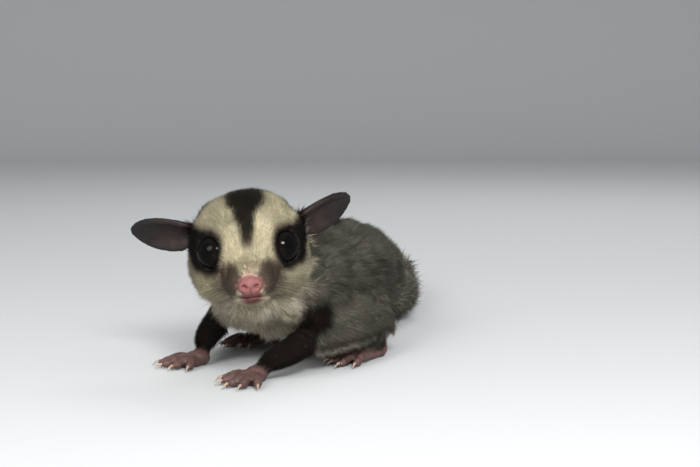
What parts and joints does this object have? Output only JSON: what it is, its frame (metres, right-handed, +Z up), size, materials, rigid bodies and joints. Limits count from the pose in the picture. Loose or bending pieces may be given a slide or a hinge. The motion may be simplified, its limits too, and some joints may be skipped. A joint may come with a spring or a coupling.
{
  "type": "sugar glider",
  "caption": "Small crouching gliding possum with its head turned, large round eyes, bare ears, folded flank membranes and a long furry tail.",
  "frame": {"origin": "on the floor, under the middle of the whole outline seen from above", "axes": "+Y from the head towards the tail's end, +X towards the animal's left side, +Z up"},
  "size_m": [0.1226, 0.245, 0.051],
  "materials": {
    "grey_fur": "short dense agouti fur, matt",
    "cream_fur": "short dense pale fur, matt",
    "dark_fur": "short dense dark fur, matt",
    "bare_skin": "thin bare skin, fine creases, faintly moist",
    "ear_skin": "thin bare skin, fine creases, satin",
    "eye": "wet black, mirror-clear highlight",
    "claw": "translucent horn, satin"
  },
  "bodies": {
    "root": {"breast": "cream_fur", "ear_left": "ear_skin", "ear_right": "ear_skin", "eye_left": "eye", "eye_right": "eye", "foot_left": "bare_skin", "foot_right": "bare_skin", "forearm_left": "dark_fur", "forearm_right": "dark_fur", "hand_left": "bare_skin", "hand_right": "bare_skin", "head": "cream_fur", "membrane_left": "dark_fur", "membrane_right": "dark_fur", "midbody": "grey_fur", "neck": "cream_fur", "nose": "bare_skin", "rump": "grey_fur", "shin_left": "grey_fur", "shin_right": "grey_fur", "tail_1": "grey_fur", "tail_2": "grey_fur", "tail_3": "grey_fur", "tail_4": "grey_fur", "tail_5": "grey_fur", "thigh_left": "grey_fur", "thigh_right": "grey_fur", "upper_arm_left": "dark_fur", "upper_arm_right": "dark_fur"}
  },
  "joints": []
}
